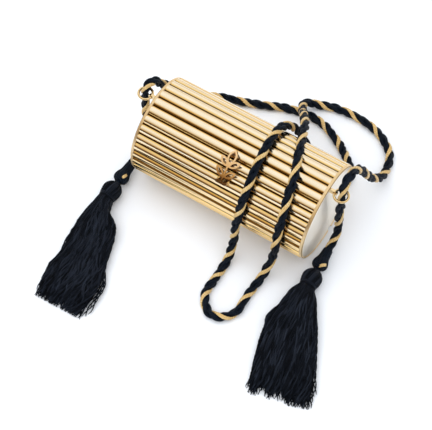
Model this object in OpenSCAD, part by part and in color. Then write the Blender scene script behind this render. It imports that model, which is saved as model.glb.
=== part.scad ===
// Ribbed cylinder minaudiere on a twisted cord strap with two silk tassels.
// It lies on two ribs, its opening seam along the top and its hinge underneath.
// X runs along the case, -Y is the front with the clasp, +Z is up.

/* [Case] */
// Length of the ribbed barrel between its end plates
case_len = 148; // [130:1:170]
// Radius over the rib crests
case_r = 40; // [36:0.5:46]
// Number of ribs round the case, an even number
rib_count = 30; // [26:2:34]
// Depth of the grooves between the ribs
groove_depth = 2.1; // [1.5:0.1:2.4]
// Thickness of the shells at the bottom of the grooves
shell_wall = 1.7; // [1.4:0.1:4]
// Gap between the two halves at the seam
seam_gap = 0.16; // [0.1:0.02:0.4]

/* [End plates] */
// Thickness of the flat part of an end plate
plate_t = 1.8; // [1.2:0.1:3]
// How far the end plates stay inside the rib crests
plate_inset = 0.5; // [0.2:0.1:1.2]
// Width of the raised bead round an end plate
bead_w = 1.6; // [1:0.1:3]
// Height of the bead over the flat part
bead_h = 0.6; // [0.2:0.1:1.2]

/* [Opening frames and linings] */
// Thickness of a frame, measured away from the seam
frame_t = 2; // [1.2:0.1:3]
// Width of a frame's rails
frame_w = 3; // [2:0.1:5]
// Thickness of the linings
lining_t = 1; // [0.6:0.1:2]
// Space between a lining and its shell
lining_gap = 0.6; // [0.3:0.1:0.9]

/* [Hinge] */
// Length of the hinge
hinge_len = 112; // [80:1:126]
// Number of knuckles, an odd number
knuckle_count = 7; // [5:2:11]
// Outer radius of the knuckles
knuckle_r = 1.7; // [1.5:0.1:2]
// Radius of the hinge pin
hinge_pin_r = 0.8; // [0.6:0.05:0.9]
// Radial clearance of a pin in its bore
pin_clear = 0.06; // [0.02:0.01:0.1]

/* [Clasp] */
// Height of the clasp ornament, from the seam down the front
clasp_h = 30; // [26:0.5:34]
// Width of the clasp ornament
clasp_w = 17; // [15:0.5:20]
// Thickness of the ornament
clasp_t = 1.8; // [1.2:0.1:2.6]
// Sideways place of the clasp, from the middle of the case
clasp_x = 2; // [-20:1:20]
// Space between the rib crests and the ornament
clasp_lift = 2.6; // [2.4:0.1:3.4]
// Width of the strokes that the ornament is made of
clasp_stroke = 1.3; // [1:0.1:1.6]
// Radius of the stud that pushes the catch
stud_r = 1.2; // [0.8:0.1:1.6]
// Radius of the clasp's pivot pin
clasp_pin_r = 0.6; // [0.4:0.05:0.8]

/* [Lugs and rings] */
// Distance from an end plate to the eye of its lug
lug_reach = 4.3; // [4.2:0.1:8]
// Radius of a lug's eye
lug_eye_r = 1.4; // [1.3:0.05:1.8]
// Width of the metal round the eye
lug_rim = 0.9; // [0.7:0.1:1.2]
// Thickness of a lug
lug_t = 1.8; // [1.4:0.1:2.4]
// Space between a lug and the bead round its end plate
lug_space = 0.1; // [0.1:0.1:3]
// Radius of the ring at the middle of its wire
ring_r = 5.4; // [5.3:0.05:7]
// Radius of the ring's wire
ring_wire_r = 1.05; // [0.8:0.05:1.2]

/* [Strap and tassels] */
// Diameter of the twisted cord
cord_d = 7; // [6:0.1:7.2]
// Radius of the bound sleeve at a cord's end
sleeve_r = 6; // [5.6:0.1:7]
// Length of a bound sleeve
sleeve_len = 18; // [14:0.5:22]
// Width of the gilt band round a sleeve
band_w = 2; // [1.2:0.1:2.6]
// Length of the thin neck between sleeve and tassel
neck_len = 2; // [1:0.5:6]
// Radius of the neck
neck_r = 2.2; // [1.6:0.1:3]
// Radius of a tassel's head
head_r = 7.8; // [7:0.2:8.2]
// Length of a tassel's head
head_len = 16; // [13:0.5:22]
// Length of a tassel's skirt
skirt_len = 95; // [70:1:110]
// Width of a skirt at its open end
skirt_w = 48; // [40:1:60]

/* [Hidden] */

gilt = "goldenrod";
silk = "#16181d";

// Ribs: each is an arc that meets its neighbours at the groove bottoms
pitch = 360 / rib_count;
groove_r = case_r - groove_depth;
rib_short = case_r - groove_r * cos(pitch / 2);
rib_r = (pow(rib_short, 2) + pow(groove_r * sin(pitch / 2), 2)) / (2 * rib_short);
rib_centre_r = case_r - rib_r;
core_share = 0.985;

// The seam lies one rib forward of the top, so the case rests on two ribs
seam_tilt = pitch;
axis_z = rib_centre_r * cos(pitch / 2) + rib_r;
overrun = 1;
fit = 0.05;
half_len = case_len / 2;
room = case_len + case_r;
shell_inner_r = groove_r - shell_wall;

plate_r = case_r - plate_inset;
bead_top = plate_t + bead_h;
end_x = half_len + plate_t;

// Hinge axis at the bottom of the seam, with the knuckles level with the rib crests
hinge_h = case_r - knuckle_r;
hinge_relief = 0.7;
knuckle_gap = 0.2;
knuckle_len = hinge_len / knuckle_count;
leaf_t = 1;
leaf_gap = 0.06;
leaf_top = hinge_h - knuckle_r - hinge_relief - leaf_gap - leaf_t;
web_t = 1;

frame_top = sqrt(pow(shell_inner_r, 2) - pow(seam_gap / 2 + frame_t, 2)) - fit;
frame_bottom = leaf_top;
frame_half_len = half_len - fit;
lining_r = shell_inner_r - lining_gap;
lining_y = seam_gap / 2 + frame_t + fit;
lining_half_len = half_len - lining_gap;

// Clasp: angles are measured from the seam towards the front
clasp_in_r = case_r + clasp_lift;
clasp_out_r = clasp_in_r + clasp_t;
clasp_mid_a = asin((clasp_h / 2 + clasp_lift) / clasp_out_r);
foot_share = 0.385;
pivot_a = clasp_mid_a + asin(clasp_h * foot_share / clasp_in_r);
pivot_drop = 1.4;
pivot_r = clasp_in_r - pivot_drop;
ear_clear = 0.2;
ear_r = pivot_drop - ear_clear;
boss_wall = 0.9;
boss_r = clasp_pin_r + pin_clear + boss_wall;
boss_len = 2;
coil_half = 1.5;
ear_t = 1.2;
ear_gap = 0.15;
ear_x = coil_half + boss_len + ear_gap;
base_w = 2 * (ear_x + ear_t);
base_len = 5;
base_t = 1;
base_top = pivot_r - boss_r - ear_clear;
base_bottom = base_top - base_t;
stud_a = pitch / 2;
stud_clear = 0.5;
stud_reach = 3.7;
wire_r = 0.22;
coil_turns = 3;
coil_clear = 0.12;
coil_r = clasp_pin_r + wire_r + coil_clear;

// Catch spring under the frames' top rails
catch_w = 8;
catch_t = 0.7;
catch_hook = 1;
catch_rise = 1.1;
catch_gap = 0.35;

lug_y = -1;
eye_x = end_x + lug_reach;
lug_out_r = lug_eye_r + lug_rim;
lug_rise = plate_r - bead_w - lug_out_r - lug_space;

cord_r = cord_d / 2;
cord_sides = 10;
soft_sides = 16;

// Centreline of the strap, from the left sleeve to the right one
strap_route = [
    [-85, -28.5, 8], [-85, -24.5, 8], [-85, -19, 8.5], [-84.8, -13.4, 11.5], [-84.2, -10.8, 18],
    [-82.4, -10.2, 32], [-82.4, -7.5, 50], [-84.8, -2.8, 62], [-86.1, -1, 69.5], [-86.1, -1, 77],
    [-85.6, 3, 82], [-84.1, 9.2, 80], [-82.3, 14.6, 72], [-80.6, 24, 57], [-80.2, 36, 38],
    [-77, 50, 16], [-71, 59, 6], [-60, 66.5, 3.6], [-42, 72, 3.6], [-24, 79, 3.6],
    [-8, 85.5, 3.6], [9, 89, 3.6], [25, 87.7, 3.6], [40, 81, 3.6], [54, 72, 3.6],
    [64, 62.5, 3.6], [67, 54, 3.7], [61, 46, 5.2], [48, 44.6, 11.5], [38, 46, 24],
    [29, 46, 40], [24, 43, 54], [20, 37.3, 65.5], [18.5, 26, 77], [19, 10.8, 83.4],
    [20.6, -7, 84.2], [22.2, -23, 78.4], [23.4, -35.6, 67.8], [23.4, -43, 53], [22.6, -46, 37],
    [23, -49, 20], [23.4, -56, 8], [23.8, -67, 3.6], [23.6, -80, 3.6], [24, -91, 3.6],
    [29, -100, 3.6], [37, -104, 3.6], [46, -101, 3.6], [52, -92, 3.6], [52, -78, 3.6],
    [53, -64, 4], [54, -54, 8], [56, -47.5, 20], [57, -46.2, 36], [57, -43, 52.5],
    [55.8, -34.5, 69], [52.6, -20, 80.4], [48.6, -5, 85], [42.4, 11, 84.2], [36, 28, 76],
    [30, 42, 67], [20, 60.5, 48.5], [10, 78, 24], [3.9, 92, 11], [6.5, 97.6, 7.6],
    [14.5, 102.2, 4.5], [28, 107, 3.6], [44, 108, 3.6], [60, 106, 3.6], [74, 100, 3.6],
    [84, 91, 3.6], [89, 78, 4.5], [90, 64, 12], [88, 51, 28], [87, 40, 48],
    [86, 30, 68], [86, 20, 83], [86, 10, 90.4], [86.1, 1.6, 87], [86.1, -1, 77],
    [86.1, -1, 66], [85.4, 1, 46], [85.2, 2.8, 28], [85.2, 2.6, 17.5], [85.4, 0.2, 11.2],
    [85.6, -4, 8.6], [85.8, -8.5, 8], [86, -12.5, 8]
];
left_end = 34;
right_start = 59;

// Tassels: each starts at an end of the strap and goes on the same way
last_point = len(strap_route) - 1;
left_foot = strap_route[0];
left_way = strap_route[0] - strap_route[1];
right_foot = strap_route[last_point];
right_way = strap_route[last_point] - strap_route[last_point - 1];
tassel_z = left_foot[2];
rest_share = 0.92;
sleeve_steps = [0, 0.2, 0.4, 0.55, 0.66, 0.76, 0.9, 0.97, 1];
sleeve_shares = [0.61, 0.65, 0.7, 0.8, 0.93, 1, 0.98, 0.78, 0.5];
head_steps = [0, 0.05, 0.14, 0.26, 0.4, 0.54, 0.68, 0.8, 0.86, 0.93, 1];
head_shares = [0.3, 0.52, 0.74, 0.91, 1, 0.99, 0.92, 0.84, 0.8, 0.84, 0.92];
skirt_thick_shares = [0.94, 0.94, 0.9, 0.78, 0.66, 0.54, 0.42, 0.3];
band_at_share = 0.78;

// Each skirt's centreline and its widths: shares of its length ahead and sideways, and of its width
left_skirt_line_shares = [
    [0, 0], [0.07, 0], [0.19, 0.03], [0.38, 0.072], [0.58, 0.108], [0.78, 0.135], [0.93, 0.145],
    [1, 0.148]
];
left_skirt_shares = [0.3, 0.34, 0.6, 0.77, 0.87, 0.96, 0.94, 0.86];
right_skirt_line_shares = [
    [0, 0], [0.065, 0], [0.175, 0.024], [0.34, 0.05], [0.52, 0.099], [0.7, 0.162], [0.84, 0.207],
    [0.905, 0.232]
];
right_skirt_shares = [0.3, 0.44, 0.55, 0.78, 0.93, 0.98, 1.02, 1.02];

$fn = 64;

// Functions for tubes and soft forms swept along a route

function unit(v) = v / norm(v);
function heading(p, i) = unit(p[min(i + 1, len(p) - 1)] - p[max(i - 1, 0)]);
function carried(n, t) = unit(n - (n * t) * t);
function side_dirs(p, first) = [
    for (i = 0, n = carried(first, heading(p, 0));
        i < len(p);
        i = i + 1, n = i < len(p) ? carried(n, heading(p, i)) : n) n
];
function ring_points(c, t, n, w, h, sides) = [
    for (k = [0:sides - 1])
        c + w * cos(360 * k / sides) * n + h * sin(360 * k / sides) * cross(t, n)
];
function tube_faces(rings, sides) = concat(
    [[for (k = [0:sides - 1]) sides - 1 - k]],
    [for (i = [0:rings - 2], k = [0:sides - 1], half = [0, 1])
        let (a = i * sides + k, b = i * sides + (k + 1) % sides)
        half == 0 ? [a, b, b + sides] : [a, b + sides, a + sides]],
    [[for (k = [0:sides - 1]) (rings - 1) * sides + k]]
);

// One solid through the route points from first to last, round or flattened
module swept(route, first, last, widths, heights, sides, side_dir, floor_z = -1000) {
    dirs = side_dirs(route, side_dir);
    rings = [
        for (i = [first:last])
            each ring_points(route[i], heading(route, i), dirs[i], widths[i], heights[i], sides)
    ];
    points = [for (p = rings) [p[0], p[1], max(p[2], floor_z)]];
    polyhedron(points = points, faces = tube_faces(last - first + 1, sides), convexity = 6);
}

module strap(first, last) {
    radii = [for (p = strap_route) cord_r];
    color(silk) swept(strap_route, first, last, radii, radii, cord_sides, [1, 0, 0]);
}

// Placing

module in_case() {
    translate([0, 0, axis_z]) rotate([seam_tilt, 0, 0]) children();
}

module along_x() {
    rotate([0, 90, 0]) children();
}

// Keeps the half of its children on one side of the seam: 1 is the back, -1 the front
module half(side) {
    intersection() {
        children();
        translate([-room, side > 0 ? seam_gap / 2 : -seam_gap / 2 - room, -room])
            cube([2 * room, room, 2 * room]);
    }
}

// Shells and end plates

module rib_section(side) {
    difference() {
        union() {
            circle(r = groove_r * core_share, $fn = 180);
            for (i = [0:rib_count / 2 - 1])
                rotate(-side * (i + 0.5) * pitch)
                    translate([-rib_centre_r, 0])
                        circle(r = rib_r, $fn = 48);
        }
        circle(r = shell_inner_r, $fn = 180);
        translate([-room, side > 0 ? seam_gap / 2 - room : -seam_gap / 2])
            square([2 * room, room]);
    }
}

module hinge_relief_cut() {
    translate([0, 0, -hinge_h])
        along_x()
            cylinder(r = knuckle_r + hinge_relief, h = 2 * room, center = true);
}

module ribbed_half(side) {
    difference() {
        rotate([0, 90, 0])
            linear_extrude(height = case_len, center = true)
                rib_section(side);
        hinge_relief_cut();
    }
}

module back_shell() {
    color(gilt) in_case() ribbed_half(1);
}

module front_shell() {
    color(gilt) in_case() difference() {
        ribbed_half(-1);
        clasp_place(pivot_a)
            translate([-base_w / 2 - fit, -base_len / 2 - fit, base_bottom])
                cube([base_w + 2 * fit, base_len + 2 * fit, case_r]);
        clasp_place(stud_a)
            cylinder(r = stud_r + stud_clear, h = 2 * case_r);
    }
}

module end_disc() {
    cylinder(r = plate_r - bead_w / 2, h = plate_t, $fn = 180);
    rotate_extrude($fn = 180) {
        translate([plate_r - bead_w, 0])
            square([bead_w, bead_top - bead_w / 2]);
        translate([plate_r - bead_w / 2, bead_top - bead_w / 2])
            circle(r = bead_w / 2, $fn = 32);
    }
}

// end is 1 for the right plate and -1 for the left one
module end_plate(side, end) {
    color(gilt) in_case() difference() {
        half(side)
            rotate([0, end * 90, 0])
                translate([0, 0, half_len])
                    end_disc();
        hinge_relief_cut();
    }
}

module back_end_plate_left() {
    end_plate(1, -1);
}

module back_end_plate_right() {
    end_plate(1, 1);
}

module front_end_plate_left() {
    end_plate(-1, -1);
}

module front_end_plate_right() {
    end_plate(-1, 1);
}

// Frames round the opening, and the linings behind them

module frame(side) {
    y0 = side > 0 ? seam_gap / 2 : -seam_gap / 2 - frame_t;
    color(gilt) in_case() difference() {
        translate([-frame_half_len, y0, -frame_bottom])
            cube([2 * frame_half_len, frame_t, frame_top + frame_bottom]);
        translate([-frame_half_len + frame_w, y0 - overrun, -frame_bottom + frame_w])
            cube([
                2 * (frame_half_len - frame_w),
                frame_t + 2 * overrun,
                frame_top + frame_bottom - 2 * frame_w
            ]);
    }
}

module back_frame() {
    frame(1);
}

module front_frame() {
    frame(-1);
}

module lining(side) {
    difference() {
        along_x()
            cylinder(r = lining_r, h = 2 * lining_half_len, center = true, $fn = 180);
        along_x()
            cylinder(r = lining_r - lining_t, h = 2 * (lining_half_len - lining_t), center = true, $fn = 180);
        translate([-room, side > 0 ? lining_y - 2 * room : -lining_y, -room])
            cube([2 * room, 2 * room, 2 * room]);
    }
}

module back_lining() {
    color("black") in_case() lining(1);
}

module front_lining() {
    color("black") in_case() difference() {
        lining(-1);
        clasp_place(stud_a)
            cylinder(r = stud_r + stud_clear, h = 2 * case_r);
    }
}

// Hinge

module hinge_leaf(side) {
    y0 = side > 0 ? seam_gap / 2 : -seam_gap / 2 - frame_t;
    web_y = side > 0 ? seam_gap / 2 : -seam_gap / 2 - web_t;
    first = side > 0 ? 0 : 1;
    color(gilt) in_case() difference() {
        union() {
            translate([-hinge_len / 2, y0, -leaf_top - leaf_t])
                cube([hinge_len, frame_t, leaf_t]);
            for (i = [first:2:knuckle_count - 1])
                translate([-hinge_len / 2 + i * knuckle_len + knuckle_gap / 2, 0, 0]) {
                    translate([0, 0, -hinge_h])
                        along_x()
                            cylinder(r = knuckle_r, h = knuckle_len - knuckle_gap, $fn = 48);
                    translate([0, web_y, -hinge_h])
                        cube([knuckle_len - knuckle_gap, web_t, hinge_h - leaf_top - leaf_t / 2]);
                }
        }
        translate([0, 0, -hinge_h])
            along_x()
                cylinder(r = hinge_pin_r + pin_clear, h = 2 * room, center = true, $fn = 48);
    }
}

module back_hinge_leaf() {
    hinge_leaf(1);
}

module front_hinge_leaf() {
    hinge_leaf(-1);
}

module hinge_pin() {
    color(gilt) in_case()
        translate([0, 0, -hinge_h])
            along_x()
                cylinder(r = hinge_pin_r, h = hinge_len, center = true, $fn = 48);
}

// Spring catch: a strip under the top rails with a hook in front of the front rail
module catch_spring() {
    strip_z = frame_top - frame_w - catch_t;
    front_y = -seam_gap / 2 - frame_t;
    color("silver") in_case() translate([clasp_x, 0, 0]) {
        translate([-catch_w / 2, front_y - catch_gap - catch_hook, strip_z])
            cube([catch_w, seam_gap / 2 + frame_t - front_y + catch_gap + catch_hook, catch_t]);
        translate([-catch_w / 2, front_y - catch_gap - catch_hook, strip_z])
            cube([catch_w, catch_hook, catch_t + catch_rise]);
    }
}

// Clasp

// Turns a piece that is drawn at the seam to an angle round the front
module clasp_place(angle) {
    translate([clasp_x, 0, 0]) rotate([angle, 0, 0]) children();
}

module leaf(length, width, inset = 0) {
    arc_r = (pow(length, 2) + pow(width, 2)) / (4 * width);
    intersection() {
        translate([arc_r - width / 2, 0]) circle(r = arc_r - inset);
        translate([width / 2 - arc_r, 0]) circle(r = arc_r - inset);
    }
}

module open_leaf(length, width) {
    difference() {
        leaf(length, width);
        leaf(length, width, clasp_stroke);
    }
}

// A sprig of open leaves: one at the tip, two pairs beside the stem and a bar at the foot
module sprig() {
    foot_w = 2 * (coil_half + boss_len);
    foot_h = 2 * clasp_stroke;
    pair_turn = 50;
    pair_shares = [0.15, -0.13];
    pair_out_share = 0.25;
    pair_len_share = 0.58;
    pair_w_share = 0.29;
    stem_share = 0.56;
    tip_shares = [0.3, 0.4, 0.4];
    translate([0, clasp_h * tip_shares[0]])
        open_leaf(clasp_h * tip_shares[1], clasp_w * tip_shares[2]);
    for (share = pair_shares, side = [-1, 1])
        translate([side * clasp_w * pair_out_share, clasp_h * share])
            rotate(-side * pair_turn)
                open_leaf(clasp_w * pair_len_share, clasp_w * pair_w_share);
    translate([-clasp_stroke / 2, -clasp_h * foot_share])
        square([clasp_stroke, clasp_h * stem_share]);
    translate([-foot_w / 2, -clasp_h * foot_share - foot_h / 2]) square([foot_w, foot_h]);
    for (side = [-1, 1])
        translate([side * foot_w / 2, -clasp_h * foot_share]) circle(r = foot_h / 2);
}

module pivot_place() {
    clasp_place(pivot_a) translate([0, 0, pivot_r]) children();
}

module clasp_lever() {
    color("gold") in_case() difference() {
        union() {
            intersection() {
                clasp_place(clasp_mid_a)
                    linear_extrude(height = 2 * case_r)
                        sprig();
                along_x()
                    difference() {
                        cylinder(r = clasp_out_r, h = 2 * clasp_w, center = true, $fn = 180);
                        cylinder(r = clasp_in_r, h = 3 * clasp_w, center = true, $fn = 180);
                    }
            }
            for (side = [-1, 1])
                pivot_place()
                    translate([side * (coil_half + boss_len / 2), 0, 0])
                        along_x()
                            cylinder(r = boss_r, h = boss_len, center = true, $fn = 48);
            clasp_place(stud_a)
                translate([0, 0, case_r - stud_reach])
                    cylinder(r = stud_r, h = stud_reach + clasp_lift + clasp_t / 2, $fn = 48);
        }
        pivot_place()
            along_x()
                cylinder(r = clasp_pin_r + pin_clear, h = 2 * clasp_w, center = true, $fn = 48);
        pivot_place()
            along_x()
                cylinder(r = boss_r + fit, h = 2 * coil_half, center = true, $fn = 48);
    }
}

module clasp_base() {
    color(gilt) in_case() difference() {
        union() {
            clasp_place(pivot_a)
                translate([-base_w / 2, -base_len / 2, base_bottom])
                    cube([base_w, base_len, base_t]);
            for (side = [-1, 1])
                clasp_place(pivot_a)
                    translate([side * (ear_x + ear_t / 2), 0, 0]) {
                        translate([-ear_t / 2, -ear_r, base_bottom + base_t / 2])
                            cube([ear_t, 2 * ear_r, pivot_r - base_bottom - base_t / 2]);
                        translate([0, 0, pivot_r])
                            along_x()
                                cylinder(r = ear_r, h = ear_t, center = true, $fn = 48);
                    }
        }
        pivot_place()
            along_x()
                cylinder(r = clasp_pin_r + pin_clear, h = 2 * clasp_w, center = true, $fn = 48);
    }
}

module clasp_pin() {
    color(gilt) in_case()
        pivot_place()
            along_x()
                cylinder(r = clasp_pin_r, h = base_w, center = true, $fn = 48);
}

// Coil round the pivot pin with one straight leg down to the base
module clasp_spring() {
    turn_steps = 12;
    steps = coil_turns * turn_steps;
    lead = 2 * (coil_half - wire_r - fit) / steps;
    route = concat(
        [[-coil_half + wire_r + fit, coil_r, -boss_r]],
        [for (i = [0:steps])
            [-coil_half + wire_r + fit + lead * i,
                coil_r * cos(360 * i / turn_steps),
                coil_r * sin(360 * i / turn_steps)]]
    );
    radii = [for (p = route) wire_r];
    color("silver") in_case()
        pivot_place()
            swept(route, 0, len(route) - 1, radii, radii, 6, [1, 0, 0]);
}

// Lugs and rings

module lug(end) {
    color(gilt) translate([end * end_x, lug_y, axis_z + lug_rise]) difference() {
        union() {
            translate([end > 0 ? 0 : -lug_reach, -lug_t / 2, -lug_out_r])
                cube([lug_reach, lug_t, 2 * lug_out_r]);
            translate([end * lug_reach, 0, 0])
                rotate([90, 0, 0])
                    cylinder(r = lug_out_r, h = lug_t, center = true, $fn = 48);
        }
        translate([end * lug_reach, 0, 0])
            rotate([90, 0, 0])
                cylinder(r = lug_eye_r, h = lug_t + 2 * overrun, center = true, $fn = 48);
    }
}

module lug_left() {
    lug(-1);
}

module lug_right() {
    lug(1);
}

module ring(end) {
    color(gilt) translate([end * (eye_x + ring_r), lug_y, axis_z + lug_rise])
        rotate_extrude($fn = 72)
            translate([ring_r, 0])
                circle(r = ring_wire_r, $fn = 32);
}

module ring_left() {
    ring(-1);
}

module ring_right() {
    ring(1);
}

// Strap

module strap_left() {
    strap(0, left_end);
}

module strap_front() {
    strap(left_end, right_start);
}

module strap_right() {
    strap(right_start, len(strap_route) - 1);
}

// Tassels: every piece is drawn along -Y from its own top end

module at_foot(side) {
    way = side > 0 ? right_way : left_way;
    translate(side > 0 ? right_foot : left_foot)
        rotate([0, 0, atan2(way[0], -way[1])])
            children();
}

module sleeve(side) {
    color(silk) at_foot(side) difference() {
        rotate([90, 0, 0])
            rotate_extrude($fn = 48)
                polygon(concat(
                    [[0, 0]],
                    [for (i = [0:len(sleeve_steps) - 1])
                        [sleeve_shares[i] * sleeve_r, sleeve_steps[i] * sleeve_len]],
                    [[0, sleeve_len]]
                ));
        rotate([90, 0, 0])
            translate([0, 0, sleeve_len * band_at_share])
                difference() {
                    cylinder(r = 2 * sleeve_r, h = band_w);
                    translate([0, 0, -overrun])
                        cylinder(r = sleeve_r * 0.8, h = band_w + 2 * overrun);
                }
    }
}

module sleeve_band(side) {
    color(gilt) at_foot(side)
        rotate([90, 0, 0])
            translate([0, 0, sleeve_len * band_at_share])
                difference() {
                    cylinder(r = sleeve_r, h = band_w);
                    translate([0, 0, -overrun])
                        cylinder(r = sleeve_r * 0.8, h = band_w + 2 * overrun);
                }
}

module tassel_neck(side) {
    color(silk) at_foot(side)
        translate([0, -sleeve_len, 0])
            rotate([90, 0, 0])
                cylinder(r = neck_r, h = neck_len, $fn = 32);
}

module at_head(side) {
    at_foot(side)
        translate([0, -sleeve_len - neck_len, 0])
            children();
}

module tassel_head(side) {
    color(silk) difference() {
        at_head(side)
            rotate([90, 0, 0])
                rotate_extrude($fn = 64)
                    polygon(concat(
                        [[0, 0]],
                        [for (i = [0:len(head_steps) - 1])
                            [head_shares[i] * head_r, head_steps[i] * head_len]],
                        [[0, head_len]]
                    ));
        translate([-room, -2 * room, -room])
            cube([2 * room, 2 * room, room]);
    }
}

// The skirt leaves the head straight, then bends, and lies flat along its underside
module tassel_skirt(side) {
    line = side > 0 ? right_skirt_line_shares : left_skirt_line_shares;
    shares = side > 0 ? right_skirt_shares : left_skirt_shares;
    heights = [for (s = skirt_thick_shares) s * head_r];
    route = [
        for (i = [0:len(line) - 1])
            [skirt_len * line[i][1], -skirt_len * line[i][0], heights[i] * rest_share - tassel_z]
    ];
    widths = [for (s = shares) s * skirt_w / 2];
    color(silk)
        at_head(side)
            translate([0, -head_len, 0])
                swept(route, 0, len(route) - 1, widths, heights, soft_sides, [1, 0, 0], -tassel_z);
}

module sleeve_left() {
    sleeve(-1);
}

module sleeve_right() {
    sleeve(1);
}

module sleeve_band_left() {
    sleeve_band(-1);
}

module sleeve_band_right() {
    sleeve_band(1);
}

module tassel_neck_left() {
    tassel_neck(-1);
}

module tassel_neck_right() {
    tassel_neck(1);
}

module tassel_head_left() {
    tassel_head(-1);
}

module tassel_head_right() {
    tassel_head(1);
}

module tassel_skirt_left() {
    tassel_skirt(-1);
}

module tassel_skirt_right() {
    tassel_skirt(1);
}

back_shell();
front_shell();
back_end_plate_left();
back_end_plate_right();
front_end_plate_left();
front_end_plate_right();
back_frame();
front_frame();
back_lining();
front_lining();
back_hinge_leaf();
front_hinge_leaf();
hinge_pin();
catch_spring();
clasp_base();
clasp_lever();
clasp_pin();
clasp_spring();
lug_left();
lug_right();
ring_left();
ring_right();
strap_left();
strap_front();
strap_right();
sleeve_left();
sleeve_right();
sleeve_band_left();
sleeve_band_right();
tassel_neck_left();
tassel_neck_right();
tassel_head_left();
tassel_head_right();
tassel_skirt_left();
tassel_skirt_right();
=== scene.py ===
import math
import random

import bpy
import numpy as np
from mathutils import Matrix, Vector


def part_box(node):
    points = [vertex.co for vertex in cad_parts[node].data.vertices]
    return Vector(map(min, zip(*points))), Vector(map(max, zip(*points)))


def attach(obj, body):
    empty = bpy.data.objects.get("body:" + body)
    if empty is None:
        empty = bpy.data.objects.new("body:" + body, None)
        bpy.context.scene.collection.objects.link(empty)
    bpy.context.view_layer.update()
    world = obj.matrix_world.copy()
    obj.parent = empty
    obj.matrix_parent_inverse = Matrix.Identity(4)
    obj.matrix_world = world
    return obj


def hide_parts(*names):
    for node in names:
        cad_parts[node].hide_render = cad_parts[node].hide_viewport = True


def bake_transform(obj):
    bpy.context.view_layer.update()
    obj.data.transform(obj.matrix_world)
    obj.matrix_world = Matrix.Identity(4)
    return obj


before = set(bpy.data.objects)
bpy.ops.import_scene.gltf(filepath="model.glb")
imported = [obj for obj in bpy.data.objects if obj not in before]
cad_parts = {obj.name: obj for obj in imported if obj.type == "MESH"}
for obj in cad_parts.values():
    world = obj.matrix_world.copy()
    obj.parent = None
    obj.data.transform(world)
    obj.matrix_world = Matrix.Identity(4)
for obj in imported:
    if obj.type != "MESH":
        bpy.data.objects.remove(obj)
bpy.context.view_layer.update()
MM = 0.001
LEFT = -1
RIGHT = 1
VERTICAL = np.array((0, 0, 1.0))


# Camera: fitted to the ribs and the end disc of the photograph
IMAGE_W = 432
FOCAL_PX = 1475.8
AZIMUTH = math.radians(31.72)
ELEVATION = math.radians(61.2)
DISTANCE = 1.114
TARGET = Vector((0.0056, -0.0464, 0.040))
SENSOR_MM = 36.0

forward = Vector((
    -math.sin(AZIMUTH) * math.cos(ELEVATION),
    math.cos(AZIMUTH) * math.cos(ELEVATION),
    -math.sin(ELEVATION),
))
right = Vector((math.cos(AZIMUTH), math.sin(AZIMUTH), 0))
up = right.cross(forward)

camera_data = bpy.data.cameras.new("camera")
camera_data.sensor_width = SENSOR_MM
camera_data.sensor_fit = "HORIZONTAL"
camera_data.lens = FOCAL_PX / IMAGE_W * SENSOR_MM
camera = bpy.data.objects.new("camera", camera_data)
bpy.context.scene.collection.objects.link(camera)
camera.matrix_world = Matrix((
    (right.x, up.x, -forward.x, 0),
    (right.y, up.y, -forward.y, 0),
    (right.z, up.z, -forward.z, 0),
    (0, 0, 0, 1),
))
camera.location = TARGET - forward * DISTANCE
bpy.context.scene.camera = camera


# Mesh building

# No point of the soft pieces lies lower than this, so that none goes into the table
FLOOR = 0.03 * MM
# A path whose cross product with the vertical is shorter than this is taken as upright
UPRIGHT = 0.1
# Fine steps between two points of a route, before the route is cut into equal steps
ROUTE_STEPS = 24


class Builder:
    """Collects tubes and skins with their UVs and materials, and makes one object of them."""

    def __init__(self, name):
        self.name = name
        self.points = []
        self.faces = []
        self.uvs = []
        self.slots = []
        self.count = 0

    def skin(self, grid, v, slot=0, u_span=(0.0, 1.0)):
        """A closed skin over points [rows, columns, 3] with capped ends; v is the rows' UV."""
        rows, cols = grid.shape[:2]
        grid = grid.copy()
        grid[..., 2] = np.maximum(grid[..., 2], FLOOR)
        base = self.count
        self.points.append(grid.reshape(-1, 3))
        self.count += rows * cols
        u = [u_span[0] + (u_span[1] - u_span[0]) * j / cols for j in range(cols + 1)]
        for i in range(rows - 1):
            low = base + i * cols
            high = low + cols
            for j in range(cols):
                k = (j + 1) % cols
                self.faces.append((low + j, low + k, high + k, high + j))
                self.uvs += [(u[j], v[i]), (u[j + 1], v[i]), (u[j + 1], v[i + 1]), (u[j], v[i + 1])]
                self.slots.append(slot)
        for row, order in ((0, -1), (rows - 1, 1)):
            ring = [base + row * cols + j for j in range(cols)]
            self.faces.append(tuple(ring[::order]))
            self.uvs += [(u_span[0], v[row])] * cols
            self.slots.append(slot)

    def tube(self, path, radii, sides, slot=0, u_span=(0.0, 1.0)):
        """A round tube along the path [n, 3], with one radius or one for each point."""
        normal, binormal = side_directions(path)
        radii = np.broadcast_to(np.asarray(radii, float), (len(path),))[:, None, None]
        angle = np.linspace(0, math.tau, sides, endpoint=False)[None, :, None]
        rings = (
            path[:, None]
            + radii * np.cos(angle) * normal[:, None]
            + radii * np.sin(angle) * binormal[:, None]
        )
        self.skin(rings, lengths_along(path) / MM, slot, u_span)

    def make(self, materials):
        mesh = bpy.data.meshes.new(self.name)
        mesh.from_pydata(np.concatenate(self.points).tolist(), [], self.faces)
        layer = mesh.uv_layers.new(name="UVMap")
        layer.data.foreach_set("uv", np.asarray(self.uvs, dtype=np.float32).ravel())
        mesh.polygons.foreach_set("material_index", self.slots)
        mesh.polygons.foreach_set("use_smooth", [True] * len(self.faces))
        mesh.update()
        piece = bpy.data.objects.new(self.name, mesh)
        bpy.context.scene.collection.objects.link(piece)
        for material in materials:
            mesh.materials.append(material)
        return piece


def unit(v):
    return v / np.maximum(np.linalg.norm(v, axis=-1, keepdims=True), 1e-12)


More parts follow.
